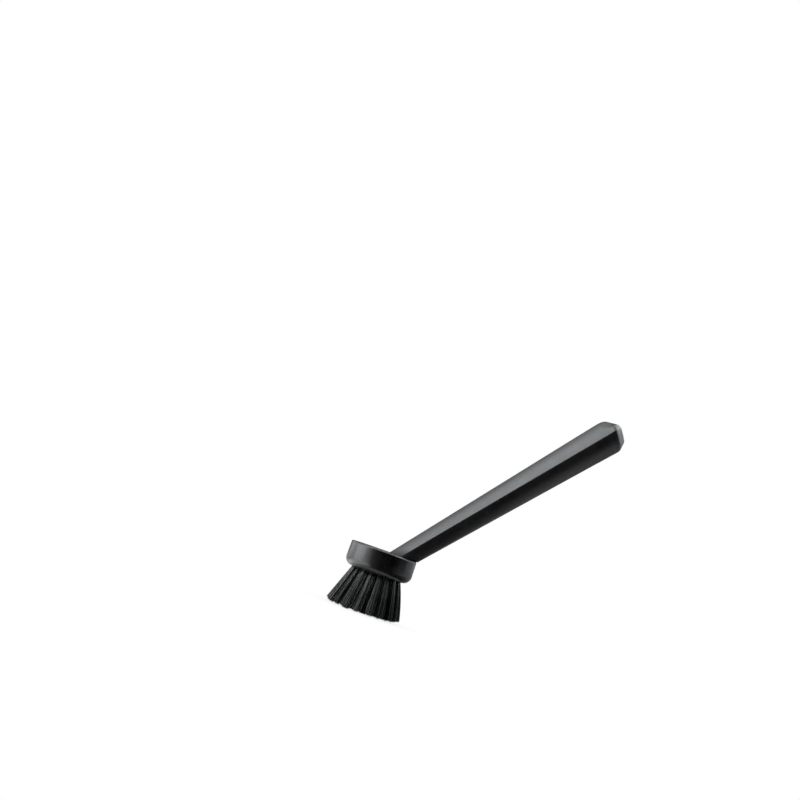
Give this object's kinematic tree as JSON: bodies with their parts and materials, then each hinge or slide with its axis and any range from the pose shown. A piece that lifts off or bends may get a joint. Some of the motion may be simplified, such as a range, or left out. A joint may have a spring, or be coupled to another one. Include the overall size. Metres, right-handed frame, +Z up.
{
  "type": "dish brush",
  "caption": "Black dish brush: a tapered handle set at a slant into a round cupped head that carries splayed bristle tufts, for scrubbing dishes by hand.",
  "frame": {"origin": "the middle of the bristle tips, on the axis of the round head", "axes": "+Z up along the head's axis, away from the bristle tips; +X the way the handle leans; the brush is alike on both sides of the XZ plane"},
  "size_m": [0.1713, 0.058, 0.1948],
  "materials": {
    "handle_plastic": "satin, fine moulded texture",
    "head_plastic": "satin, fine moulded texture",
    "block_plastic": "matt",
    "bristle_nylon": "drawn nylon filament, slight sheen",
    "anchor_metal": "drawn strip"
  },
  "bodies": {
    "brush_head": {"head_cup": "head_plastic", "tuft_block": "block_plastic", "bristles_centre": "bristle_nylon", "bristles_inner": "bristle_nylon", "bristles_middle": "bristle_nylon", "bristles_outer": "bristle_nylon", "anchor_centre_01": "anchor_metal", "anchor_inner_01": "anchor_metal", "anchor_inner_02": "anchor_metal", "anchor_inner_03": "anchor_metal", "anchor_inner_04": "anchor_metal", "anchor_inner_05": "anchor_metal", "anchor_inner_06": "anchor_metal", "anchor_middle_01": "anchor_metal", "anchor_middle_02": "anchor_metal", "anchor_middle_03": "anchor_metal", "anchor_middle_04": "anchor_metal", "anchor_middle_05": "anchor_metal", "anchor_middle_06": "anchor_metal", "anchor_middle_07": "anchor_metal", "anchor_middle_08": "anchor_metal", "anchor_middle_09": "anchor_metal", "anchor_middle_10": "anchor_metal", "anchor_middle_11": "anchor_metal", "anchor_middle_12": "anchor_metal", "anchor_outer_01": "anchor_metal", "anchor_outer_02": "anchor_metal", "anchor_outer_03": "anchor_metal", "anchor_outer_04": "anchor_metal", "anchor_outer_05": "anchor_metal", "anchor_outer_06": "anchor_metal", "anchor_outer_07": "anchor_metal", "anchor_outer_08": "anchor_metal", "anchor_outer_09": "anchor_metal", "anchor_outer_10": "anchor_metal", "anchor_outer_11": "anchor_metal", "anchor_outer_12": "anchor_metal", "anchor_outer_13": "anchor_metal", "anchor_outer_14": "anchor_metal", "anchor_outer_15": "anchor_metal", "anchor_outer_16": "anchor_metal", "anchor_outer_17": "anchor_metal", "anchor_outer_18": "anchor_metal"},
    "handle": {"handle": "handle_plastic"}
  },
  "joints": [
    {"name": "handle_release", "type": "slide", "parent": "brush_head", "child": "handle", "axis": [0, 0, 1], "range_m": [0, 0.02]}
  ]
}
